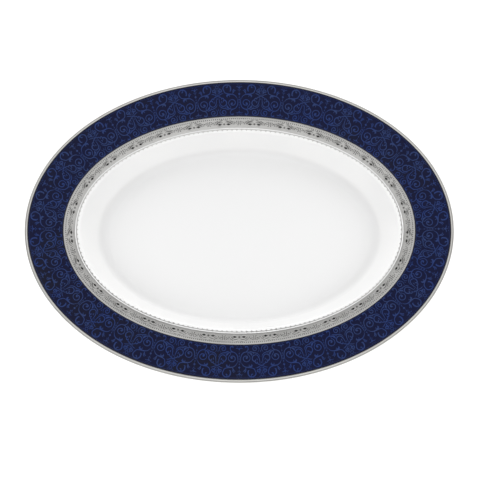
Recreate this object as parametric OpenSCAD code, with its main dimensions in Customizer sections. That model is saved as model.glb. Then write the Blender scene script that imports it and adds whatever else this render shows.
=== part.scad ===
// Oval serving platter in glazed porcelain: a wide rim with a cobalt ground, a tone-on-tone
// scroll print and platinum bands, a deep well and a raised foot ring.
// It lies on its foot ring, long axis along X, with the origin under its middle.

/* [Outline] */
// Overall length of the oval
platter_l = 406; // [340:1:490]
// Overall width of the oval
platter_w = 297; // [246:1:358]

/* [Section] */
// Overall height, from the foot to the top of the edge
platter_h = 34; // [28:0.5:41]
// Thickness of the bare porcelain at its rounded edge
edge_t = 1.8; // [1.4:0.1:2.4]
// Width of the rim, from the outer edge to where the wall turns down
rim_w = 51.5; // [42:0.5:62]
// Slope of the rim, falling towards the well
rim_slope = 4; // [2:0.5:5]
// Slope of the wall below the horizontal, at the long sides
wall_slope = 60; // [54:1:68]
// Thickness of the porcelain in the wall and the base
wall_t = 4; // [3.2:0.1:5]
// Radius where the wall meets the well, on the upper side
well_r = 9; // [6:0.5:11]

/* [Foot] */
// Height of the foot ring below the base
foot_h = 2.8; // [2:0.1:4]
// Width of the foot ring
foot_w = 4.2; // [3.4:0.1:5]
// How far the foot ring stands outside the flat of the well
foot_reach = 2.5; // [1:0.1:3.5]

/* [Fired coats] */
// Thickness of the clear glaze
glaze_t = 0.35; // [0.3:0.05:0.5]
// Thickness of the cobalt ground
cobalt_t = 0.3; // [0.3:0.05:0.4]
// Thickness of the scroll print on the cobalt
print_t = 0.25; // [0.2:0.05:0.3]
// Thickness of the platinum on the rim
platinum_t = 0.3; // [0.3:0.05:0.4]
// Thickness of the relief on the platinum band
relief_t = 0.25; // [0.2:0.05:0.3]
// Thickness of the platinum line that wraps the edge
edge_line_t = 0.5; // [0.5:0.05:0.7]

/* [Bands] */
// Width of the platinum line around the edge
edge_line_w = 2.8; // [2.6:0.1:4]
// How far the edge line wraps under the edge, as an angle
edge_wrap = 60; // [30:5:80]
// Width of each dark keyline beside the cobalt ground
keyline_w = 0.8; // [0.6:0.1:1.2]
// Width of the platinum band
platinum_w = 10.8; // [9:0.2:13]
// Distance from the platinum band's outer side to its row of beads
bead_inset = 0.9; // [0.6:0.1:1.2]
// Width of the row of beads
bead_row_w = 1.2; // [0.8:0.1:1.4]
// Plain platinum left on each side of the tracery
tracery_margin = 1; // [0.6:0.1:1.2]
// White gap between the platinum band and the picot line
picot_gap = 1; // [0.6:0.1:1.2]
// Width of the picot line with its teeth
picot_w = 1.8; // [1.2:0.1:2.4]
// Plain rim left between the picot line and the wall
shoulder_gap = 1.1; // [0.8:0.1:3]

/* [Hidden] */
$fn = 120;

half_l = platter_l / 2;
half_w = platter_w / 2;
clear = 1; // how far a cutting shape runs past what it cuts

// The section across the middle, as [distance from the centre, height]. Each oval shape is
// this section turned through a quarter, stretched along X and mirrored to all four quarters.
edge_r = edge_t / 2;
edge_skin = glaze_t + edge_line_t;
edge_c = [half_w - edge_r - edge_skin, platter_h - edge_r - edge_skin];
rim_stretch = half_l / half_w;

// A point on the rim's upper side at radius r, a distance d above the porcelain.
function rim_top(r, d) = [r, edge_c[1] + (edge_r + d) / cos(rim_slope) - (edge_c[0] - r) * tan(rim_slope)];

// The wall starts at the shoulder. The well is stretched so that the rim keeps its width.
shoulder = rim_top(half_w - rim_w, 0);
well_stretch = (half_l - rim_w) / (half_w - rim_w);
wall_n = [-sin(wall_slope), cos(wall_slope)];
wall_dir = [cos(wall_slope), sin(wall_slope)];
well_z = foot_h + wall_t;
wall_run = (shoulder[1] - well_z - well_r * (1 - wall_n[1])) / sin(wall_slope);
well_c = shoulder - wall_run * wall_dir + well_r * wall_n;
collar_z = shoulder[1] - wall_t / 4; // the wall's solid ends inside the rim's thickness

// The underside of the rim is tangent to the round edge and wall_t below the shoulder.
under_end = shoulder - [0, wall_t];
under_span = edge_c - under_end;
under_slope = atan2(under_span[1], under_span[0]) - asin(edge_r / norm(under_span));
function rim_under(r, d) =
    [r, edge_c[1] - (edge_r + d) / cos(under_slope) - (edge_c[0] - r) * tan(under_slope)];

ARC_STEPS = 8;
function arc(c, r, from, to) =
    [for (i = [0 : ARC_STEPS]) let (t = from + (to - from) * i / ARC_STEPS) c + r * [cos(t), sin(t)]];

// A point of the wall's line moved out of the bowl by d, at height z.
function wall_at(z, d) =
    let (p = shoulder - d * wall_n) [p[0] + (z - p[1]) / tan(wall_slope), z];

// Turns a section through a quarter and stretches it along X.
module turned(stretch, section) {
    scale([stretch, 1, 1])
        rotate_extrude(angle = 90)
            polygon(section);
}

// The whole oval, from a quarter of it.
module mirrored() {
    for (across = [0, 1], along = [0, 1])
        mirror([across, 0, 0])
            mirror([0, along, 0])
                children();
}

// A quarter of an upright oval post with half axes a and b.
module post(a, b, z0, z1) {
    turned(a / b, [[0, z0], [b, z0], [b, z1], [0, z1]]);
}

// The post whose side stands w in from the outer edge, all round.
module inset_post(w) {
    post(half_l - w, half_w - w, -clear, platter_h + clear);
}

// The rim as a full shallow cone with a round edge.
module rim_blank() {
    turned(rim_stretch, concat(
        [rim_under(0, 0)],
        arc(edge_c, edge_r, under_slope - 90, 90 + rim_slope),
        [rim_top(0, 0)]));
}

// The rim's upper or lower half with a coat of thickness d on it.
module rim_upper(d) {
    turned(rim_stretch, concat(
        [rim_top(0, d - wall_t / 2), edge_c],
        arc(edge_c, edge_r + d, 0, 90 + rim_slope),
        [rim_top(0, d)]));
}

module rim_lower(d) {
    turned(rim_stretch, concat(
        [rim_under(0, d)],
        arc(edge_c, edge_r + d, under_slope - 90, 0),
        [edge_c, rim_under(0, -wall_t / 2)]));
}

// The bowl's solid, grown by d from the well's upper surface, up to height z.
module bowl(d, z) {
    turned(well_stretch, concat(
        [[0, well_z - d]],
        arc(well_c, well_r + d, 270, 270 + wall_slope),
        [wall_at(z, d), [0, z]]));
}

module foot_ring(z1) {
    difference() {
        post(foot_l, foot_b, 0, z1);
        post(foot_l - foot_w, foot_b - foot_w, -clear, z1 + clear);
    }
}

foot_b = well_c[0] + foot_reach;
foot_l = well_c[0] * well_stretch + foot_reach;
foot_root = foot_h + wall_t / 2;

// A flat band on the rim, between two distances in from the edge and two heights on it.
module rim_band(w0, w1, d0, d1) {
    r0 = half_w - rim_w - clear;
    difference() {
        intersection() {
            turned(rim_stretch, [rim_top(r0, d0), rim_top(half_w, d0),
                rim_top(half_w, d1), rim_top(r0, d1)]);
            inset_post(w0);
        }
        inset_post(w1);
    }
}

// The bands are set out inward from the wall, and the cobalt ground takes the rest of the rim.
picot_to = rim_w - shoulder_gap;
picot_from = picot_to - picot_w;
platinum_to = picot_from - picot_gap;
cobalt_to = platinum_to - platinum_w;
bead_from = cobalt_to + bead_inset;
bead_to = bead_from + bead_row_w;
ground_top = glaze_t + cobalt_t;
metal_top = glaze_t + platinum_t;

// The porcelain in one quarter, which the coats are cut against.
module porcelain() {
    difference() {
        union() {
            rim_blank();
            bowl(wall_t, collar_z);
            foot_ring(foot_root);
        }
        bowl(0, platter_h + clear);
    }
}

module porcelain_body() {
    color("ivory")
        mirrored()
            porcelain();
}

module face_glaze() {
    color("white")
        mirrored()
            difference() {
                union() {
                    rim_upper(glaze_t);
                    bowl(wall_t / 2, collar_z);
                }
                porcelain();
                bowl(-glaze_t, platter_h + clear);
            }
}

module underside_glaze() {
    color("whitesmoke")
        mirrored()
            difference() {
                union() {
                    rim_lower(glaze_t);
                    bowl(wall_t + glaze_t, collar_z - glaze_t);
                }
                rim_blank();
                bowl(wall_t, collar_z);
                post(foot_l, foot_b, -clear, foot_root);
            }
}

module base_glaze() {
    color("whitesmoke")
        mirrored()
            post(foot_l - foot_w, foot_b - foot_w, foot_h - glaze_t, foot_h);
}

module edge_line() {
    inner = edge_r + glaze_t;
    outer = edge_r + edge_skin;
    r0 = edge_c[0] - 2 * edge_line_w;
    color("silver")
        mirrored()
            difference() {
                turned(rim_stretch, concat(
                    [rim_top(r0, glaze_t)],
                    arc(edge_c, inner, 90 + rim_slope, -edge_wrap),
                    arc(edge_c, outer, -edge_wrap, 90 + rim_slope),
                    [rim_top(r0, edge_skin)]));
                post(half_l - edge_line_w, half_w - edge_line_w, edge_c[1], platter_h + clear);
            }
}

module outer_keyline() {
    color("midnightblue")
        mirrored()
            rim_band(edge_line_w, edge_line_w + keyline_w, glaze_t, ground_top);
}

module cobalt_band() {
    color([0.09, 0.12, 0.3])
        mirrored()
            rim_band(edge_line_w + keyline_w, cobalt_to - keyline_w, glaze_t, ground_top);
}

module inner_keyline() {
    color("midnightblue")
        mirrored()
            rim_band(cobalt_to - keyline_w, cobalt_to, glaze_t, ground_top);
}

module scroll_print() {
    color([0.16, 0.22, 0.42])
        mirrored()
            rim_band(edge_line_w + keyline_w, cobalt_to - keyline_w, ground_top, ground_top + print_t);
}

module platinum_band() {
    color("silver")
        mirrored()
            rim_band(cobalt_to, platinum_to, glaze_t, metal_top);
}

module bead_row() {
    color("gainsboro")
        mirrored()
            rim_band(bead_from, bead_to, metal_top, metal_top + relief_t);
}

module band_tracery() {
    color("gainsboro")
        mirrored()
            rim_band(bead_to + tracery_margin, platinum_to - tracery_margin,
                metal_top, metal_top + relief_t);
}

module picot_line() {
    color("silver")
        mirrored()
            rim_band(picot_from, picot_to, glaze_t, metal_top);
}

porcelain_body();
face_glaze();
underside_glaze();
base_glaze();
edge_line();
outer_keyline();
cobalt_band();
inner_keyline();
scroll_print();
platinum_band();
bead_row();
band_tracery();
picot_line();
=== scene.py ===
import math
import bpy
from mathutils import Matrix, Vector


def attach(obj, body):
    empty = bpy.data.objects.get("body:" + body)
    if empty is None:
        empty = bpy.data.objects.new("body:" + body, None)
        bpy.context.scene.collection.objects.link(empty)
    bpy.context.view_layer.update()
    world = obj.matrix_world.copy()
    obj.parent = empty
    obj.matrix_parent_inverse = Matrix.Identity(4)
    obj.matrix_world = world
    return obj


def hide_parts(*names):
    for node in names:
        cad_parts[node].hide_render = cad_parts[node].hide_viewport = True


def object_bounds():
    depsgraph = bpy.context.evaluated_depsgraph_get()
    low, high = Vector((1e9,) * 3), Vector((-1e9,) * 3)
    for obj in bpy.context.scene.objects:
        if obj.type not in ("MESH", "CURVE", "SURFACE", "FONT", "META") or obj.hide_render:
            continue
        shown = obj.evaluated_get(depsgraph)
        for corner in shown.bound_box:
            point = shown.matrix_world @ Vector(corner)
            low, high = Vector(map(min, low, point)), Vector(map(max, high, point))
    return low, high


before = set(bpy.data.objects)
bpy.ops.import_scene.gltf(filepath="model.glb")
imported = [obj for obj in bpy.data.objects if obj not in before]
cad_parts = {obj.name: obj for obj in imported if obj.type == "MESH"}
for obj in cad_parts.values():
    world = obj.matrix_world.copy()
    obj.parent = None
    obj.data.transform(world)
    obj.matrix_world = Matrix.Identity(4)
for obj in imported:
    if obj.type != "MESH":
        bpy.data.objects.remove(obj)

cadLow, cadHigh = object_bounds()
mm = 0.001
halfLong = cadHigh.x
halfWide = cadHigh.y
topHeight = cadHigh.z
middle = (cadLow + cadHigh) / 2

print("camera and light")

shot = {
    "elevation": 75,        # degrees above the table
    "distance": 2.5,        # metres from the middle of the platter
    "lens": 197.2,          # millimetres
    "sensor": 36,
    "farthest": 50,
    "aimAcross": 0.7 * mm,  # the platter sits a little up and left in the view
    "aimDown": 6.35 * mm,
}


def makeCamera():
    tilt = math.radians(shot["elevation"])
    away = Vector((0, -math.cos(tilt), math.sin(tilt)))
    up = Vector((0, math.sin(tilt), math.cos(tilt)))
    aim = middle + Vector((shot["aimAcross"], 0, 0)) - up * shot["aimDown"]
    bpy.ops.object.camera_add(location=aim + away * shot["distance"])
    camera = bpy.context.object
    camera.rotation_euler = (math.radians(90 - shot["elevation"]), 0, 0)
    camera.data.lens = shot["lens"]
    camera.data.sensor_width = shot["sensor"]
    camera.data.clip_end = shot["farthest"]
    bpy.context.scene.camera = camera


makeCamera()
bpy.context.scene.view_settings.view_transform = "Standard"


class Wire:
    # a shader socket that can be used in sums
    def __init__(self, board, socket):
        self.board = board
        self.socket = socket

    def sum(self, operation, first, second):
        return self.board.add("ShaderNodeMath", {"operation": operation}, {0: first, 1: second})

    def __add__(self, other):
        return self.sum("ADD", self, other)

    def __radd__(self, other):
        return self.sum("ADD", other, self)

    def __sub__(self, other):
        return self.sum("SUBTRACT", self, other)

    def __rsub__(self, other):
        return self.sum("SUBTRACT", other, self)

    def __mul__(self, other):
        return self.sum("MULTIPLY", self, other)

    def __rmul__(self, other):
        return self.sum("MULTIPLY", other, self)


class Board:
    # the nodes of one material, or of the world
    def __init__(self, tree):
        self.tree = tree

    def add(self, kind, settings=None, values=None, out=0):
        node = self.tree.nodes.new(kind)
        for name, value in (settings or {}).items():
            setattr(node, name, value)
        for name, value in (values or {}).items():
            self.feed(node.inputs[name], value)
        return Wire(self, node.outputs[out])

    def feed(self, socket, value):
        if isinstance(value, Wire):
            self.tree.links.new(value.socket, socket)
        elif hasattr(value, "__len__") and len(socket.default_value) == 4 and len(value) == 3:
            socket.default_value = (*value, 1)
        else:
            socket.default_value = value

    def mixColour(self, share, first, second):
        return self.add("ShaderNodeMix", {"data_type": "RGBA"}, {0: share, 6: first, 7: second}, out=2)

    def between(self, value, low, high):
        return self.add("ShaderNodeMapRange", {"interpolation_type": "SMOOTHSTEP"},
                        {"Value": value, "From Min": low, "From Max": high})


light = {
    "overhead": 0.96,             # soft panel above
    "overheadTilt": -5,           # degrees from straight up, negative towards the front
    "overheadInner": 12,          # degrees from its middle, where it starts to fade
    "overheadOuter": 46,          # and where it ends
    "sky": 0.16,
    "frontHorizon": 0.32,
    "backHorizon": 1.25,
    "horizonFade": (0.05, 0.45),  # heights between which the horizon gives way to the sky
    "backFade": (-0.1, 0.8),      # depths between which the front horizon gives way to the back one
}

# wide panels, each turned that many degrees counter-clockwise from the back
lamps = {
    "backPanel": {"turn": 0, "elevation": 29, "strength": 1.20, "width": 34},
    "frontPanel": {"turn": 180, "elevation": 29, "strength": 0.98, "width": 34},
    "leftPanel": {"turn": 90, "elevation": 34, "strength": 0.99, "width": 38},
    "rightPanel": {"turn": 270, "elevation": 34, "strength": 0.95, "width": 38},
}


def makeSky():
    world = bpy.data.worlds.new("studio")
    bpy.context.scene.world = world
    world.use_nodes = True
    board = Board(world.node_tree)
    direction = board.add("ShaderNodeTexCoord", out=0)
    tilt = math.radians(light["overheadTilt"])
    towards = board.add("ShaderNodeVectorMath", {"operation": "DOT_PRODUCT"},
                        {0: direction, 1: (0, math.sin(tilt), math.cos(tilt))}, out=1)
    panel = board.between(towards, math.cos(math.radians(light["overheadOuter"])),
                          math.cos(math.radians(light["overheadInner"])))
    height = board.add("ShaderNodeSeparateXYZ", values={0: direction}, out=2)
    depth = board.add("ShaderNodeSeparateXYZ", values={0: direction}, out=1)
    low = 1 - board.between(height, *light["horizonFade"])
    back = board.between(depth, *light["backFade"])
    horizon = light["frontHorizon"] + back * (light["backHorizon"] - light["frontHorizon"])
    background = world.node_tree.nodes["Background"]
    background.inputs["Color"].default_value = (1, 1, 1, 1)
    board.feed(background.inputs["Strength"],
               light["sky"] + panel * light["overhead"] + low * (horizon - light["sky"]))


# the wide panels light the body but leave no bright spot in the metal
def makeLamps():
    for name, look in lamps.items():
        bpy.ops.object.light_add(type="SUN", location=(0, 0, 2))
        lamp = bpy.context.object
        lamp.name = name
        lamp.data.energy = look["strength"]
        lamp.data.angle = math.radians(look["width"])
        lamp.visible_glossy = False
        lamp.rotation_euler = (math.radians(look["elevation"] - 90), 0, math.radians(look["turn"]))


makeSky()
makeLamps()

floor = {"size": 14, "shade": 0.40, "roughness": 0.9, "glow": 0.72}


def makeFloor():
    bpy.ops.object.select_all(action="DESELECT")
    bpy.ops.mesh.primitive_plane_add(size=floor["size"], location=(0, 0, 0))
    table = bpy.context.object
    table.name = "table"
    paper = bpy.data.materials.new("paleTable")
    paper.use_nodes = True
    shader = paper.node_tree.nodes["Principled BSDF"]
    shader.inputs["Base Color"].default_value = (floor["shade"], floor["shade"], floor["shade"], 1)
    shader.inputs["Roughness"].default_value = floor["roughness"]
    shader.inputs["Specular IOR Level"].default_value = 0
    shader.inputs["Emission Color"].default_value = (1, 1, 1, 1)
    shader.inputs["Emission Strength"].default_value = floor["glow"]
    table.data.materials.append(paper)


makeFloor()

print("finishes")


def newFinish(name):
    material = bpy.data.materials.new(name)
    material.use_nodes = True
    shader = material.node_tree.nodes["Principled BSDF"]
    board = Board(material.node_tree)
    place = board.add("ShaderNodeTexCoord", out=3)
    return material, shader, board, place


def noise(board, place, scale, detail, roughness=0.5):
    return board.add("ShaderNodeTexNoise", {"noise_dimensions": "3D"},
                     {"Vector": place, "Scale": scale, "Detail": detail, "Roughness": roughness})


def bump(board, height, strength, distance):
    return board.add("ShaderNodeBump",
                     values={"Height": height, "Strength": strength, "Distance": distance})


glaze = {
    "colour": (0.885, 0.883, 0.878),
    "deep": (0.870, 0.870, 0.867),
    "wellShade": (0.775, 0.775, 0.775),  # painted shade: a darker colour over the floor of the well, lowest down
    "wellShadeFrom": 14 * mm,
    "wellShadeTo": 7 * mm,
    "speck": (0.55, 0.53, 0.50),
    "roughness": 0.07,
    "ior": 1.5,
}


def makeClearGlaze():
    material, shader, board, place = newFinish("clearGlaze")
    pools = noise(board, place, scale=26, detail=3)
    fine = noise(board, place, scale=240, detail=2)
    specks = board.between(noise(board, place, scale=900, detail=1), 0.79, 0.86)
    height = board.add("ShaderNodeSeparateXYZ", values={0: place}, out=2)
    # painted shade: the glaze colour darkens towards the floor of the well, below the walls
    deep = board.between(height, glaze["wellShadeFrom"], glaze["wellShadeTo"])
    colour = board.mixColour(board.between(pools, 0.35, 0.7), glaze["colour"], glaze["deep"])
    colour = board.mixColour(deep, colour, glaze["wellShade"])
    board.feed(shader.inputs["Base Color"], board.mixColour(specks * 0.10, colour, glaze["speck"]))
    board.feed(shader.inputs["Roughness"], glaze["roughness"] + fine * 0.05)
    board.feed(shader.inputs["Normal"], bump(board, pools + fine * 0.15, strength=0.12, distance=0.4 * mm))
    shader.inputs["IOR"].default_value = glaze["ior"]
    return material


bisque = {
    "colour": (0.78, 0.76, 0.70),
    "worn": (0.64, 0.61, 0.55),
    "grain": (0.70, 0.68, 0.63),
    "roughness": 0.62,
}


def makeBareFoot():
    material, shader, board, place = newFinish("bareFoot")
    grain = noise(board, place, scale=1400, detail=3)
    wear = noise(board, place, scale=60, detail=3)
    colour = board.mixColour(board.between(wear, 0.4, 0.7), bisque["colour"], bisque["worn"])
    board.feed(shader.inputs["Base Color"], board.mixColour(grain * 0.25, colour, bisque["grain"]))
    board.feed(shader.inputs["Roughness"], bisque["roughness"] + grain * 0.2)
    board.feed(shader.inputs["Normal"], bump(board, grain, strength=0.5, distance=0.1 * mm))
    return material


cobalt = {
    "blue": (0.0032, 0.0044, 0.0270),
    "dull": (0.0062, 0.0068, 0.0180),
    "strong": (0.0028, 0.0048, 0.0310),
    "grain": (0.0060, 0.0066, 0.0220),
    "roughness": 0.10,
    "ior": 1.2,
}


def makeCobaltGround():
    material, shader, board, place = newFinish("cobaltGround")
    clouds = noise(board, place, scale=34, detail=4, roughness=0.6)
    drift = noise(board, place, scale=7, detail=2)
    fine = noise(board, place, scale=420, detail=2)
    colour = board.mixColour(board.between(clouds, 0.38, 0.66), cobalt["blue"], cobalt["dull"])
    colour = board.mixColour(board.between(drift, 0.4, 0.65), colour, cobalt["strong"])
    board.feed(shader.inputs["Base Color"], board.mixColour(fine * 0.3, colour, cobalt["grain"]))
    board.feed(shader.inputs["Roughness"], cobalt["roughness"] + clouds * 0.12)
    board.feed(shader.inputs["Normal"], bump(board, clouds + fine * 0.2, strength=0.10, distance=0.3 * mm))
    shader.inputs["IOR"].default_value = cobalt["ior"]
    return material


keyline = {
    "colour": (0.0022, 0.0026, 0.0120),
    "pale": (0.0040, 0.0044, 0.0170),
    "roughness": 0.12,
}


def makeKeylineEnamel():
    material, shader, board, place = newFinish("keylineEnamel")
    clouds = noise(board, place, scale=60, detail=3)
    board.feed(shader.inputs["Base Color"], board.mixColour(clouds, keyline["colour"], keyline["pale"]))
    board.feed(shader.inputs["Roughness"], keyline["roughness"] + clouds * 0.1)
    board.feed(shader.inputs["Normal"], bump(board, clouds, strength=0.1, distance=0.2 * mm))
    return material


enamel = {
    "colour": (0.014, 0.033, 0.140),
    "pale": (0.021, 0.039, 0.122),
    "grain": (0.010, 0.024, 0.100),
    "roughness": 0.22,
    "ior": 1.26,
}


def makeScrollEnamel():
    material, shader, board, place = newFinish("scrollEnamel")
    clouds = noise(board, place, scale=48, detail=3)
    fine = noise(board, place, scale=700, detail=2)
    colour = board.mixColour(board.between(clouds, 0.35, 0.65), enamel["colour"], enamel["pale"])
    board.feed(shader.inputs["Base Color"], board.mixColour(fine * 0.35, colour, enamel["grain"]))
    board.feed(shader.inputs["Roughness"], enamel["roughness"] + fine * 0.16)
    board.feed(shader.inputs["Normal"], bump(board, fine, strength=0.25, distance=0.06 * mm))
    shader.inputs["IOR"].default_value = enamel["ior"]
    return material


# all five are the same metal; the brighter copy on the raised ornament carries a painted highlight, the
# darker copy for the lines, lattice holes and dots between beads is partly real etching and partly painted
# shadow, and the darkest copy for the lozenges is painted shadow
platinum = {
    "edgePlatinum": {
        "tone": (0.76, 0.75, 0.72), "dull": (0.70, 0.69, 0.66), "roughness": 0.24, "etch": 0.2},
    "bandPlatinum": {
        "tone": (0.71, 0.705, 0.69), "dull": (0.64, 0.635, 0.62), "roughness": 0.38, "etch": 0.3},
    "highlightPlatinum": {
        "tone": (0.86, 0.855, 0.84), "dull": (0.80, 0.795, 0.78), "roughness": 0.32, "etch": 0.2},
    "etchAndShadePlatinum": {
        "tone": (0.165, 0.163, 0.159), "dull": (0.120, 0.118, 0.115), "roughness": 0.46, "etch": 0.3},
    "shadowPlatinum": {
        "tone": (0.060, 0.059, 0.057), "dull": (0.040, 0.039, 0.038), "roughness": 0.42, "etch": 0.3},
}


def makePlatinum(name):
    look = platinum[name]
    material, shader, board, place = newFinish(name)
    clouds = noise(board, place, scale=40, detail=3)
    fine = noise(board, place, scale=1500, detail=3)
    colour = board.mixColour(board.between(clouds, 0.35, 0.7), look["tone"], look["dull"])
    grain = tuple(0.8 * part for part in look["dull"])
    board.feed(shader.inputs["Base Color"], board.mixColour(fine * 0.35, colour, grain))
    board.feed(shader.inputs["Roughness"], look["roughness"] + fine * 0.14)
    relief = bump(board, fine + clouds * 0.3, strength=look["etch"], distance=0.08 * mm)
    board.feed(shader.inputs["Normal"], relief)
    shader.inputs["Metallic"].default_value = 1
    return material


clearGlaze = makeClearGlaze()
bareFoot = makeBareFoot()
cobaltGround = makeCobaltGround()
keylineEnamel = makeKeylineEnamel()
scrollEnamel = makeScrollEnamel()
edgePlatinum = makePlatinum("edgePlatinum")
bandPlatinum = makePlatinum("bandPlatinum")
highlightPlatinum = makePlatinum("highlightPlatinum")
etchAndShadePlatinum = makePlatinum("etchAndShadePlatinum")
shadowPlatinum = makePlatinum("shadowPlatinum")

print("platter section")

section = {
    "rimWidth": 51.5 * mm,
    "rimSlope": 3.0,         # degrees, falling inward
    "rollFrom": 28 * mm,     # the rim dips more from here to the wall
    "rollSlope": 9.6,
    "edgeRadius": 0.9 * mm,
    "edgeSkin": 0.85 * mm,   # the platinum line stands this far off the porcelain
    "underSlope": 6.5,
    "underBend": 5 * mm,     # radius where the underside turns down the wall
    "wallSlope": 60,
    "wallThickness": 4 * mm,
    "shoulderRadius": 3 * mm,
    "wellRadius": 9 * mm,
    "footHeight": 2.8 * mm,
    "footWidth": 4.2 * mm,
    "footReach": 2.5 * mm,   # from the flat of the well out to the foot's outer side
    "footCorner": ((0, 1.1), (0.35, 0.35), (1.2, 0)),  # inset and height, in millimetres
    "baseReach": 73 * mm,    # from the foot in to the smallest ring of the base
    "glaze": 0.35 * mm,
    "groundTop": 0.65 * mm,
    "wellRings": (3, 30, 60, 74),  # millimetres from the middle, on the short axis
    # millimetres in from the outer edge
    "rimRings": (49.2, 47, 44, 41, 38, 35, 32, 28, 24, 20, 16, 12, 8, 5, 3),
    "ringSteps": 256,
}

edgeInset = section["edgeRadius"] + section["edgeSkin"]
edgeHeight = topHeight - edgeInset
across = halfWide - section["rimWidth"]
along = halfLong - section["rimWidth"]
wellHeight = section["footHeight"] + section["wallThickness"]


def tan(angle):
    return math.tan(math.radians(angle))


# the height of the upper surface at an inset from the outer edge
def rimHeight(inset, lift=0.0):
    fall = (inset - edgeInset) * tan(section["rimSlope"])
    past = max(0.0, inset - section["rollFrom"])
    length = section["rimWidth"] - section["rollFrom"]
    fall += (tan(section["rollSlope"]) - tan(section["rimSlope"])) * past ** 3 / (3 * length ** 2)
    return edgeHeight + section["edgeRadius"] + lift - fall


def rimRing(inset, lift=0.0):
    return halfLong - inset, halfWide - inset, rimHeight(inset, lift)


def edgeRing(angle, lift):
    reach = section["edgeRadius"] + lift
    inset = edgeInset - reach * math.cos(math.radians(angle))
    return halfLong - inset, halfWide - inset, edgeHeight + reach * math.sin(math.radians(angle))


# an oval through a point of the short axis
def wellRing(reach, height):
    if reach >= across:
        return along + reach - across, reach, height
    return along * reach / across, reach, height


# points on an arc of the section, from one surface angle to another
def roundTo(centre, radius, fromAngle, toAngle, steps):
    points = []
    for i in range(steps + 1):
        angle = math.radians(fromAngle + (toAngle - fromAngle) * i / steps)
        points.append((centre[0] - radius * math.sin(angle), centre[1] + radius * math.cos(angle)))
    return points


wallAngle = math.radians(section["wallSlope"])
shoulder = (across, rimHeight(section["rimWidth"]))
halfTurn = math.radians((section["wallSlope"] - section["rollSlope"]) / 2)
midTurn = math.radians((section["wallSlope"] + section["rollSlope"]) / 2)
shoulderReach = section["shoulderRadius"] / math.cos(halfTurn)
shoulderCentre = (shoulder[0] + shoulderReach * math.sin(midTurn),
                  shoulder[1] - shoulderReach * math.cos(midTurn))
wallDrop = shoulder[1] - wellHeight - section["wellRadius"] * (1 - math.cos(wallAngle))
wallRun = wallDrop / math.sin(wallAngle)
wellCentre = (
    shoulder[0] - wallRun * math.cos(wallAngle) - section["wellRadius"] * math.sin(wallAngle),
    wellHeight + section["wellRadius"],
)
footOuter = wellCentre[0] + section["footReach"]
footAlong = wellCentre[0] * along / across + section["footReach"]


def footRing(inset, height):
    return footAlong - inset, footOuter - inset, height


# the upper surface from the middle of the well out to the edge line, a lift above the porcelain
def upperStations(lift):
    stations = [wellRing(reach * mm, wellHeight + lift) for reach in section["wellRings"]]
    wellTurn = roundTo(wellCentre, lift - section["wellRadius"], 0, section["wallSlope"], steps=14)
    shoulderTurn = roundTo(shoulderCentre, section["shoulderRadius"] + lift,
                           section["wallSlope"], section["rollSlope"], steps=8)
    stations += [wellRing(reach, height) for reach, height in wellTurn + shoulderTurn]
    stations += [rimRing(inset * mm, lift) for inset in section["rimRings"]]
    return stations


# the lower surface from the edge in to the foot, a lift outside the porcelain
def lowerStations(lift):
    slope = section["underSlope"]
    thick = section["wallThickness"] + lift
    wallFoot = (shoulder[0] + thick * math.sin(wallAngle), shoulder[1] - thick * math.cos(wallAngle))
    start = edgeRing(slope - 90, lift)
    startReach, startHeight = start[1:]
    # where the flat underside meets the wall
    rise = startHeight - wallFoot[1] + wallFoot[0] * math.tan(wallAngle) - startReach * tan(slope)
    reach = rise / (math.tan(wallAngle) - tan(slope))
    height = startHeight - (startReach - reach) * tan(slope)
    bend = section["underBend"]
    back = bend * math.tan(math.radians((section["wallSlope"] - slope) / 2))
    stations = [start]
    for share in (0.25, 0.5, 0.75):
        y = startReach + (reach + back - startReach) * share
        stations.append(wellRing(y, startHeight - (startReach - y) * tan(slope)))
    lean = math.radians(slope)
    centre = (reach + back * math.cos(lean) + bend * math.sin(lean),
              height + back * math.sin(lean) - bend * math.cos(lean))
    stations += [wellRing(y, z) for y, z in roundTo(centre, bend, slope, section["wallSlope"], steps=6)]
    lowest = section["footHeight"] - lift + 0.02 * mm
    nearest = footOuter + 0.3 * mm
    for y, z in roundTo(wellCentre, -section["wellRadius"] - thick, section["wallSlope"], 0, steps=12):
        if z > lowest and y > nearest:
            stations.append(wellRing(y, z))
    return stations


weldReach = 0.004 * mm


# edges that turn by more than sharp degrees stay crisp
def finishMesh(piece, sharp=35):
    bpy.ops.object.mode_set(mode="EDIT")
    bpy.ops.mesh.select_all(action="SELECT")
    bpy.ops.mesh.remove_doubles(threshold=weldReach)
    bpy.ops.mesh.select_all(action="SELECT")
    bpy.ops.mesh.normals_make_consistent(inside=False)
    bpy.ops.object.mode_set(mode="OBJECT")
    bpy.ops.object.shade_smooth_by_angle(angle=math.radians(sharp))
    return piece


# one oval ring drawn out and resized from station to station, closed at its ends
def drawShell(name, stations):
    bpy.ops.object.select_all(action="DESELECT")
    bpy.ops.mesh.primitive_circle_add(vertices=section["ringSteps"], radius=1, location=(0, 0, 0))
    piece = bpy.context.object
    piece.name = name
    piece.data.name = name
    bpy.ops.object.mode_set(mode="EDIT")
    bpy.ops.mesh.select_all(action="SELECT")
    a, b, z = stations[0]
    bpy.ops.transform.resize(value=(a, b, 1), center_override=(0, 0, 0))
    bpy.ops.transform.translate(value=(0, 0, z))
    for nextA, nextB, nextZ in stations[1:]:
        bpy.ops.mesh.extrude_region_move(TRANSFORM_OT_translate={"value": (0, 0, nextZ - z)})
        bpy.ops.transform.resize(value=(nextA / a, nextB / b, 1), center_override=(0, 0, 0))
        a, b, z = nextA, nextB, nextZ
    if stations[0] != stations[-1]:
        bpy.ops.mesh.select_all(action="SELECT")
        bpy.ops.mesh.fill_holes(sides=0)
    bpy.ops.object.mode_set(mode="OBJECT")
    return finishMesh(piece)


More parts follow.
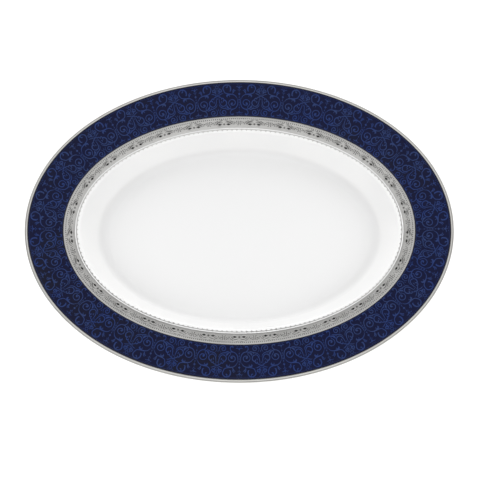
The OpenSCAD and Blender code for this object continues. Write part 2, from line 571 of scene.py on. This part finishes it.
def setPiece(piece, node, slotName, *materials):
    for material in materials:
        piece.data.materials.append(material)
    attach(piece, "root")
    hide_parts(node)
    return piece


print("porcelain body and its glazes")

sunk = -0.08 * mm  # how far a coat's hidden side lies inside what it covers
coatBase = section["glaze"] + sunk


def makePorcelain():
    stations = upperStations(0)
    stations += [edgeRing(angle, 0) for angle in (90, 60, 30, 0, -30, -60)]
    stations += lowerStations(0)
    foot = section["footWidth"]
    high = section["footHeight"]
    corner = section["footCorner"]
    stations.append(footRing(0, high))
    stations += [footRing(inset * mm, height * mm) for inset, height in corner]
    stations += [footRing(foot - inset * mm, height * mm) for inset, height in corner[::-1]]
    stations += [footRing(foot, high), footRing(foot + 20 * mm, high), footRing(foot + 50 * mm, high),
                 footRing(foot + section["baseReach"], high)]
    setPiece(drawShell("PorcelainBody", stations), "porcelain_body", "bisque", bareFoot)


def makeFaceGlaze():
    lift = section["glaze"]
    stations = upperStations(lift) + [edgeRing(angle, lift) for angle in (90, 60, 30, 0)]
    stations += [edgeRing(angle, sunk) for angle in (0, 30, 60, 90)] + upperStations(sunk)[::-1]
    setPiece(drawShell("FaceGlaze", stations), "face_glaze", "clear_glaze", clearGlaze)


def makeUndersideGlaze():
    lift = section["glaze"]
    stations = [edgeRing(angle, lift) for angle in (0, -30, -60)] + lowerStations(lift)
    high = section["footHeight"] - lift
    # down the foot's outer side and back up inside it
    stations += [footRing(-0.5 * mm, high), footRing(-0.2 * mm, high - 0.3 * mm),
                 footRing(-0.15 * mm, 1.5 * mm), footRing(0.1 * mm, 1.3 * mm),
                 footRing(0.15 * mm, high + 0.6 * mm)]
    stations += lowerStations(sunk)[::-1] + [edgeRing(angle, sunk) for angle in (-60, -30, 0)]
    stations.append(stations[0])
    setPiece(drawShell("UndersideGlaze", stations), "underside_glaze", "clear_glaze", clearGlaze)


def makeBaseGlaze():
    lift = section["glaze"]
    foot = section["footWidth"]
    high = section["footHeight"] - lift
    reach = foot + section["baseReach"]
    back = section["footHeight"] - sunk
    # out over the base, down the foot's inner side, and back above them
    stations = [footRing(reach, high), footRing(foot + 30 * mm, high), footRing(foot + 1.0 * mm, high),
                footRing(foot + 0.35 * mm, high - 0.3 * mm), footRing(foot + 0.15 * mm, 1.5 * mm),
                footRing(foot - 0.1 * mm, 1.3 * mm), footRing(foot - 0.1 * mm, back), footRing(reach, back)]
    setPiece(drawShell("BaseGlaze", stations), "base_glaze", "clear_glaze", clearGlaze)


makePorcelain()
makeFaceGlaze()
makeUndersideGlaze()
makeBaseGlaze()

print("flat bands")

# insets from the outer edge, in millimetres
bands = {
    "edgeTo": 2.8,
    "outerKeyTo": 3.6,
    "innerKeyFrom": 36.0,
    "cobaltTo": 36.8,
    "platinumTo": 47.6,
    "beadsAt": 38.9,
    "traceryFrom": 39.9,
    "traceryTo": 46.6,
    "picotFrom": 48.6,
    "picotTo": 50.4,
}

edgeLine = {
    "wrap": -60,      # degrees round the edge where it ends, below level
    "steps": 12,
    "bevelIn": 0.15,  # millimetres
    "bevelDown": 0.1,
    "flatTo": 2.2,
}


def makeEdgeLine():
    lift = section["edgeSkin"]
    inner = bands["edgeTo"]
    angles = [90 - (90 - edgeLine["wrap"]) * i / edgeLine["steps"] for i in range(edgeLine["steps"] + 1)]
    stations = [rimRing(inner * mm, coatBase), rimRing(inner * mm, lift - edgeLine["bevelDown"] * mm),
                rimRing((inner - edgeLine["bevelIn"]) * mm, lift), rimRing(edgeLine["flatTo"] * mm, lift)]
    stations += [edgeRing(angle, lift) for angle in angles]
    stations += [edgeRing(angle, coatBase) for angle in angles[::-1]]
    stations.append(stations[0])
    setPiece(drawShell("EdgeLine", stations), "edge_line", "platinum", edgePlatinum)


# a coat between two insets, its corners eased by soft millimetres
def drawBand(name, start, end, steps=1, soft=0.1):
    top = section["groundTop"]
    sideTop = top - soft * 0.6 * mm
    easedTop = top - soft * 0.2 * mm
    width = end - start
    insets = [start + soft + (width - 2 * soft) * i / steps for i in range(steps + 1)]
    stations = [rimRing(start * mm, coatBase), rimRing(start * mm, sideTop),
                rimRing((start + soft * 0.3) * mm, easedTop)]
    stations += [rimRing(inset * mm, top) for inset in insets]
    stations += [rimRing((end - soft * 0.3) * mm, easedTop), rimRing(end * mm, sideTop),
                 rimRing(end * mm, coatBase), rimRing(start * mm, coatBase)]
    return drawShell(name, stations)


makeEdgeLine()
setPiece(drawBand("OuterKeyline", bands["edgeTo"], bands["outerKeyTo"]),
         "outer_keyline", "keyline_enamel", keylineEnamel)
setPiece(drawBand("CobaltBand", bands["outerKeyTo"], bands["innerKeyFrom"], steps=10),
         "cobalt_band", "cobalt_ground", cobaltGround)
setPiece(drawBand("InnerKeyline", bands["innerKeyFrom"], bands["cobaltTo"]),
         "inner_keyline", "keyline_enamel", keylineEnamel)
setPiece(drawBand("PlatinumBand", bands["cobaltTo"], bands["platinumTo"], steps=6, soft=0.15),
         "platinum_band", "platinum", bandPlatinum)

print("ornament")


# the oval line that a row of ornament follows
def ovalPath(inset):
    bpy.ops.object.select_all(action="DESELECT")
    bpy.ops.curve.primitive_bezier_circle_add(radius=1, location=(0, 0, 0))
    path = bpy.context.object
    path.scale = (halfLong - inset * mm, halfWide - inset * mm, 1)
    bpy.ops.object.transform_apply(location=False, rotation=False, scale=True)
    path.data.resolution_u = 64
    path.data.use_radius = False
    return path


def pathLength(inset, steps=2000):
    a, b = halfLong - inset * mm, halfWide - inset * mm
    total = 0
    for i in range(steps):
        t = 2 * math.pi * (i + 0.5) / steps
        total += math.hypot(a * math.sin(t), b * math.cos(t)) * 2 * math.pi / steps
    return total


strokeTip = 0.02  # millimetres, half the width of the finest point
buried = 0.05     # millimetres that the ornament reaches into the coat below


# strokes are lists of (along, out, half width) in millimetres
def drawStrokes(name, strokes, height):
    bpy.ops.object.select_all(action="DESELECT")
    curve = bpy.data.curves.new(name, "CURVE")
    curve.dimensions = "3D"
    curve.twist_mode = "Z_UP"
    curve.bevel_depth = 1
    curve.bevel_resolution = 0
    curve.resolution_u = 3
    for stroke in strokes:
        spline = curve.splines.new("BEZIER")
        spline.bezier_points.add(len(stroke) - 1)
        for knot, (x, y, width) in zip(spline.bezier_points, stroke):
            knot.co = (x, y, 0)
            knot.handle_left_type = knot.handle_right_type = "AUTO"
            knot.radius = max(width, strokeTip)
    drawing = bpy.data.objects.new(name, curve)
    bpy.context.collection.objects.link(drawing)
    bpy.context.view_layer.objects.active = drawing
    drawing.select_set(True)
    bpy.ops.object.convert(target="MESH")
    piece = bpy.context.object
    bpy.ops.object.mode_set(mode="EDIT")
    bpy.ops.mesh.select_all(action="SELECT")
    bpy.ops.mesh.fill_holes(sides=6)
    bpy.ops.transform.resize(value=(mm, mm, mm * height), center_override=(0, 0, 0))
    bpy.ops.object.mode_set(mode="OBJECT")
    return piece


# cuts the rounded strokes off flat above and below
def flatten(piece, height):
    for corner in piece.data.vertices:
        corner.co.z = max(min(corner.co.z, height * mm), -buried * mm)


def mirrorAcross(strokes):
    return strokes + [[(-x, y, width) for x, y, width in stroke] for stroke in strokes]


# repeats a drawn unit round the oval at that inset, laid on the rim
def layRound(piece, inset, count, lift):
    length = pathLength(inset)
    path = ovalPath(inset)
    for corner in piece.data.vertices:
        corner.co.z += rimHeight(inset * mm - corner.co.y, lift)
    bpy.ops.object.select_all(action="DESELECT")
    piece.select_set(True)
    bpy.context.view_layer.objects.active = piece
    row = piece.modifiers.new("row", "ARRAY")
    row.count = count
    row.use_relative_offset = False
    row.use_constant_offset = True
    row.constant_offset_displace = (length / count, 0, 0)
    bend = piece.modifiers.new("bend", "CURVE")
    bend.object = path
    bend.deform_axis = "POS_X"
    bpy.ops.object.modifier_apply(modifier="row")
    bpy.ops.object.modifier_apply(modifier="bend")
    bpy.data.objects.remove(path)
    return finishMesh(piece, sharp=50)


# a spiral stroke round x, y, its angles in degrees counter-clockwise from along; a bud closes its middle
def curl(x, y, start, sweep, radius, endRadius, width, endWidth, bud=0.0):
    steps = max(4, round(abs(sweep) / 48))  # a knot about every 48 degrees
    stroke = []
    for i in range(steps + 1):
        share = i / steps
        angle = math.radians(start + sweep * share)
        reach = radius + (endRadius - radius) * share
        stroke.append((x + reach * math.cos(angle), y + reach * math.sin(angle),
                       width + (endWidth - width) * share))
    if bud:
        lastX, lastY, _ = stroke[-1]
        stroke.append((lastX + (x - lastX) * 0.7, lastY + (y - lastY) * 0.7, bud))
        stroke.append((x + (x - lastX) * 0.25, y + (y - lastY) * 0.25, 0))
    return stroke


# scroll print, drawn from a palmette at 0 to a flower halfway to the next one
scroll = {
    "repeats": 24,
    "inset": 19.8,   # the middle of the cobalt
    "border": 16.2,  # from there out to the edge of the cobalt
    "height": 0.45,
    "flatAt": 0.25,
    "thin": 0.30,    # half widths
    "line": 0.41,
    "leaf": 0.95,
}


def scrollStrokes():
    thin, line, leaf = scroll["thin"], scroll["line"], scroll["leaf"]
    half = pathLength(scroll["inset"]) / mm / scroll["repeats"] / 2
    top = scroll["border"]

    # knots measured from the palmette line, and down from the outer edge of the cobalt
    def near(*knots):
        return [(x, top - down, width) for x, down, width in knots]

    # knots measured back from the halfway line
    def far(*knots):
        return [(half - x, top - down, width) for x, down, width in knots]

    side = [
        # outer palmette, its side leaves
        near((0.15, 5.6, 0.2), (0.9, 4.2, 0.34), (2.2, 3.7, 0.34), (3.3, 4.3, 0)),
        near((0.7, 1.9, 0), (1.5, 1.9, 0.3), (2.4, 2.1, 0)),
        near((0.4, 6.9, 0.1), (1.0, 6.7, 0.35), (1.6, 7.1, 0)),
        # inner palmette, its side leaves
        near((0.15, 28.0, 0.2), (1.0, 29.3, 0.34), (2.4, 29.6, 0.36), (3.6, 29.0, 0)),
        near((0.8, 30.9, 0), (1.6, 30.9, 0.28), (2.6, 31.0, 0)),
        # feathered sprig between the palmette and the ring
        near((6.7, 10.8, 0.1), (5.7, 9.6, 0.4), (4.9, 8.0, 0.45), (3.8, 7.3, 0.3), (3.2, 7.8, 0)),
        near((6.3, 9.4, 0.1), (5.9, 7.6, 0.4), (4.9, 6.3, 0.35), (4.2, 6.2, 0)),
        # ring scroll
        near((7.2, 11.0, thin), (10.2, 10.6, line), (13.4, 9.4, line))
        + curl(11.3, top - 5.3, -38, 226, 3.8, 3.4, line, 0.62) + near((8.5, 7.9, 0.55), (9.4, 7.6, 0)),
        near((11.3, 1.8, 0.1), (10.9, 2.9, 0.4), (11.3, 4.1, 0.6), (12.2, 4.4, 0.2), (12.5, 3.8, 0)),
        # leaf arch over the main scroll
        near((2.2, 15.6, 0.1), (2.8, 13.8, thin), (4.6, 12.0, line), (7.4, 11.1, 0.5),
             (10.2, 11.4, leaf), (11.6, 12.6, 0.75), (11.2, 14.2, 0)),
        near((9.8, 12.0, 0.1), (9.0, 12.9, 0.35), (9.3, 13.9, 0)),
        # main scroll and the long line round it
        curl(6.5, top - 19.7, -52, 372, 4.1, 1.9, 0.30, 0.5, bud=1.0),
        near((1.5, 14.6, 0.1), (1.3, 17.5, thin), (1.5, 21.0, line), (3.4, 24.6, line),
             (6.6, 25.9, 0.42), (9.6, 25.3, 0.45), (11.6, 23.6, leaf), (12.2, 21.4, 0)),
        near((9.2, 25.6, 0.1), (8.3, 24.2, 0.35), (8.8, 22.8, 0.3), (9.6, 22.6, 0)),
        near((9.6, 26.6, 0.1), (11.6, 25.9, 0.5), (13.6, 24.6, 0.4), (13.4, 22.9, 0)),
        # tail below the main scroll
        near((6.0, 25.9, 0.1), (8.0, 27.2, line), (8.9, 29.2, line), (7.8, 31.1, 0.5),
             (6.2, 30.7, 0.7), (6.4, 29.5, 0)),
        # heart scroll
        far((1.3, 13.4, 0.1), (1.4, 16.6, thin), (2.0, 20.0, line), (4.0, 22.6, 0.42), (6.8, 22.2, 0.45),
            (8.3, 19.8, 0.5), (7.7, 17.6, 0.5), (6.2, 16.6, 0.6), (5.2, 17.6, 0.4), (5.7, 18.7, 0)),
        far((6.4, 16.8, 0.1), (5.6, 15.3, 0.45), (4.4, 14.7, 0.5), (3.6, 15.7, 0.3), (4.2, 16.5, 0)),
        far((3.8, 15.8, 0.1), (3.1, 13.9, 0.4), (1.8, 13.4, 0.4), (0.8, 13.9, 0)),
        far((3.0, 17.4, 0.1), (3.9, 18.6, 0.5), (3.3, 19.8, 0)),
        # long line from the flower down to the tear scroll
        far((0.9, 20.2, 0.1), (1.5, 22.2, thin), (3.2, 23.9, line), (6.4, 25.0, line), (8.4, 25.7, 0.1)),
        # tear scroll
        far((2.9, 24.9, 0.1), (1.4, 27.2, thin), (1.5, 29.8, line), (3.6, 31.5, line), (6.2, 31.0, line),
            (7.3, 28.8, line), (5.9, 26.9, line), (3.9, 27.6, 0.42), (3.8, 29.3, 0.5), (5.1, 29.6, 0.6),
            (5.2, 28.7, 0)),
        # flower on the halfway line: its side leaves, and the curls under it
        far((1.0, 5.3, 0.1), (2.2, 5.2, 0.36), (3.2, 4.3, 0)),
        far((1.3, 2.4, 0.1), (2.3, 1.9, 0.34), (3.0, 2.2, 0)),
        far((0.3, 10.6, 0.1), (1.5, 9.9, line))
        + curl(half - 3.0, top - 7.6, -60, 400, 1.9, 0.8, line, 0.45, bud=0.5),
        far((0.3, 11.8, 0.1), (2.0, 11.4, 0.35), (4.2, 10.3, 0.4), (6.0, 10.2, 0)),
        far((0.2, 12.0, 0.1), (1.1, 12.6, 0.5), (2.3, 12.6, 0)),
    ]
    strokes = mirrorAcross(side)
    strokes += [
        # thin lines along both borders
        near((-half, 0.9, 0.11), (0, 0.9, 0.11), (half, 0.9, 0.11)),
        near((-half, 31.7, 0.11), (0, 31.7, 0.11), (half, 31.7, 0.11)),
        # on the palmette line
        near((0, 6.6, 0.1), (0, 4.2, 0.38), (0, 1.6, 0)),
        near((0, 27.0, 0.1), (0, 29.0, 0.42), (0, 31.3, 0)),
        near((0, 7.0, 0.1), (0, 17, 0.1), (0, 27, 0.1)),
    ]
    # the row of buds down the palmette line
    buds = ((7.6, 0.6), (10.9, 1.15), (14.0, 0.6), (16.6, 0.75), (19.2, 0.55), (21.8, 0.6), (24.6, 0.7))
    for down, size in buds:
        reach = size * 1.1
        strokes.append([(0, top - down + reach, 0), (0, top - down, size), (0, top - down - reach, 0)])
    # on the halfway line
    strokes += [
        curl(half, top - 3.6, 90, 360, 1.3, 1.3, 0.26, 0.26),
        far((0, 1.0, 0), (0, 1.8, 0.4), (0, 2.5, 0.1)),
        far((0, 4.8, 0.1), (0, 6.0, 0.34), (0, 8.4, 0.1), (0, 11.2, 0.1)),
        far((0, 11.2, 0), (0, 12.2, 0.6), (0, 13.3, 0)),
        far((0, 14.2, 0), (0, 15.2, 0.34), (0, 16.4, 0)),
        far((0, 25.0, 0), (0, 26.2, 0.4), (0, 27.6, 0)),
    ]
    return strokes


def makeScrollPrint():
    piece = drawStrokes("ScrollPrint", scrollStrokes(), scroll["height"])
    flatten(piece, scroll["flatAt"])
    layRound(piece, scroll["inset"], scroll["repeats"], section["groundTop"])
    setPiece(piece, "scroll_print", "scroll_enamel", scrollEnamel)
    print("scroll print", len(piece.data.polygons))


makeScrollPrint()


# joins drawn parts as one piece, each part with its own finish
def joinParts(*parts):
    finishes = [finish for _, finish in parts]
    for part, finish in parts:
        for each in finishes:
            part.data.materials.append(each)
        for face in part.data.polygons:
            face.material_index = finishes.index(finish)
    bpy.ops.object.select_all(action="DESELECT")
    for part, _ in parts:
        part.select_set(True)
    bpy.context.view_layer.objects.active = parts[0][0]
    bpy.ops.object.join()
    return parts[0][0]


# a low dome on the oval line, x millimetres along it, its size in millimetres
def addDome(name, x, length, width, height, segments, rings):
    bpy.ops.object.select_all(action="DESELECT")
    bpy.ops.mesh.primitive_uv_sphere_add(segments=segments, ring_count=rings, radius=1, location=(0, 0, 0))
    dome = bpy.context.object
    dome.name = name
    dome.data.name = name
    bpy.ops.object.mode_set(mode="EDIT")
    bpy.ops.mesh.select_all(action="SELECT")
    # cut a little below the middle, so that the dome is rooted in the coat
    bpy.ops.mesh.bisect(plane_co=(0, 0, -0.12), plane_no=(0, 0, 1), use_fill=True, clear_inner=True)
    bpy.ops.mesh.select_all(action="SELECT")
    size = (length / 2 * mm, width / 2 * mm, height * mm)
    bpy.ops.transform.resize(value=size, center_override=(0, 0, 0))
    bpy.ops.transform.translate(value=(x * mm, 0, 0))
    bpy.ops.object.mode_set(mode="OBJECT")
    return dome


beads = {
    "pitch": 1.9,
    "bead": {"length": 1.15, "width": 1.0, "height": 0.22, "segments": 8, "rings": 6},
    "dot": {"length": 0.8, "width": 1.1, "height": 0.10, "segments": 6, "rings": 4},  # dark, between beads: partly real etching, partly painted shadow between them
}


def makeBeadRow():
    at = bands["beadsAt"]
    count = round(pathLength(at) / mm / beads["pitch"])
    row = addDome("BeadRow", 0, **beads["bead"])
    layRound(row, at, count, section["groundTop"])
    dots = addDome("darkDots", beads["pitch"] / 2, **beads["dot"])
    layRound(dots, at, count, section["groundTop"])
    # the beads carry a painted highlight, the dots between them are partly real etching and partly painted
    # shadow
    piece = joinParts((row, highlightPlatinum), (dots, etchAndShadePlatinum))
    setPiece(piece, "bead_row", "platinum_relief")
    print("beads", count, len(piece.data.polygons))


makeBeadRow()

tracery = {
    "repeats": 29,
    "height": 0.5,
    "brightTop": 0.22,
    "etchAndShadeTop": 0.09,
    "darkTop": 0.12,
    "brightLozenge": (0.85, 0.5),  # half length and half height
    "etchAndShadeLozenge": (0.72, 0.46),
    "darkLozenge": (2.2, 1.0),
}


# a lozenge, as a stroke of three knots
def lozenge(x, y, size):
    halfLength, halfHeight = tracery[size]
    return [(x - halfLength, y, 0), (x, y, halfHeight), (x + halfLength, y, 0)]


# raised metal with a painted highlight: a cap over each dark lozenge, swags, and the lattice halfway
def brightStrokes(half):
    strokes = mirrorAcross([
        [(1.6, -1.9, 0.1), (2.4, -0.1, 0.3), (4.3, 0.7, 0.42), (6.2, -0.1, 0.3), (7.0, -1.9, 0.1)],
        [(2.4, -2.3, 0.1), (4.3, -2.7, 0.24), (6.2, -2.3, 0.1)],
        [(0.6, 2.4, 0.1), (2.2, 2.7, 0.34), (4.4, 2.1, 0.36), (6.6, 1.0, 0.36), (8.4, -0.8, 0.34),
         (9.6, -1.9, 0)],
        [(8.2, 2.5, 0), (8.9, 1.2, 0.4), (10.2, 0.2, 0.34), (11.0, -1.4, 0)],
        [(6.2, 2.6, 0), (7.4, 2.0, 0.3), (8.4, 0.6, 0)],
    ])
    lattice = ((0, 0.3), (-1.7, 1.3), (1.7, 1.3), (0, 2.3), (-1.7, -0.7), (1.7, -0.7), (0, -1.7),
               (-3.3, 2.2), (3.3, 2.2))
    return strokes + [lozenge(half + x, y, "brightLozenge") for x, y in lattice]


# etching and painted shadow: the dark lines beside the swags, and the holes of the lattice
def etchAndShadeStrokes(half):
    strokes = mirrorAcross([
        [(1.0, 1.0, 0.1), (2.8, 1.6, 0.3), (4.8, 1.4, 0.34), (6.8, 0.2, 0.32), (7.9, -1.3, 0)],
        [(5.0, 2.9, 0), (6.6, 2.2, 0.32), (7.9, 1.4, 0.28), (8.7, 0.2, 0)],
        [(0.4, 3.1, 0), (2.0, 3.3, 0.24), (4.0, 3.1, 0)],
        [(8.9, -1.2, 0), (9.7, -0.4, 0.3), (9.0, 0.3, 0)],
        [(0.7, 0.6, 0), (0.75, -0.7, 0.2), (0.7, -2.0, 0)],
    ])
    holes = ((-0.9, 0.8), (0.9, 0.8), (-0.9, 1.9), (0.9, 1.9), (-0.9, -0.4), (0.9, -0.4), (-2.6, 1.8),
             (2.6, 1.8), (-2.5, 0.2), (2.5, 0.2), (-1.1, -1.5), (1.1, -1.5), (-3.9, 0.9), (3.9, 0.9))
    return strokes + [lozenge(half + x, y, "etchAndShadeLozenge") for x, y in holes]


# the dark lozenges and the mark between them, in painted shadow
def darkStrokes():
    return [lozenge(-4.3, -0.9, "darkLozenge"), lozenge(4.3, -0.9, "darkLozenge"),
            [(0, 0.6, 0), (0, -0.8, 0.46), (0, -2.0, 0)]]


# a pair of dark lozenges stands at 0, a lattice halfway to the next pair
def makeTracery():
    inset = (bands["traceryFrom"] + bands["traceryTo"]) / 2
    half = pathLength(inset) / mm / tracery["repeats"] / 2

    def lay(name, strokes, height):
        part = drawStrokes(name, strokes, tracery["height"])
        flatten(part, height)
        return layRound(part, inset, tracery["repeats"], section["groundTop"])

    bright = lay("BandTracery", brightStrokes(half), tracery["brightTop"])
    etchAndShade = lay("etchAndShadeLines", etchAndShadeStrokes(half), tracery["etchAndShadeTop"])
    dark = lay("darkLozenges", darkStrokes(), tracery["darkTop"])
    piece = joinParts((bright, highlightPlatinum), (etchAndShade, etchAndShadePlatinum), (dark, shadowPlatinum))
    setPiece(piece, "band_tracery", "platinum_relief")
    print("tracery", len(piece.data.polygons))


makeTracery()

picot = {"repeats": 174, "height": 0.3, "flatAt": 0.12, "lift": 0.06}


# a line, a chain of small arches and a tooth at each of their meetings
def makePicotLine():
    inset = (bands["picotFrom"] + bands["picotTo"]) / 2
    half = pathLength(inset) / mm / picot["repeats"] / 2
    strokes = [
        [(-half, 0.66, 0.24), (0, 0.66, 0.24), (half, 0.66, 0.24)],
        [(-half, -0.2, 0.4), (-half * 0.6, 0.25, 0.34), (0, 0.4, 0.28), (half * 0.6, 0.25, 0.34),
         (half, -0.2, 0.4)],
        [(half, 0.4, 0.9), (half, -0.2, 0.7), (half, -0.95, 0.25)],
    ]
    piece = drawStrokes("PicotLine", strokes, picot["height"])
    flatten(piece, picot["flatAt"])
    layRound(piece, inset, picot["repeats"], section["glaze"] + picot["lift"] * mm)
    setPiece(piece, "picot_line", "platinum", bandPlatinum)
    print("picot", len(piece.data.polygons))


makePicotLine()
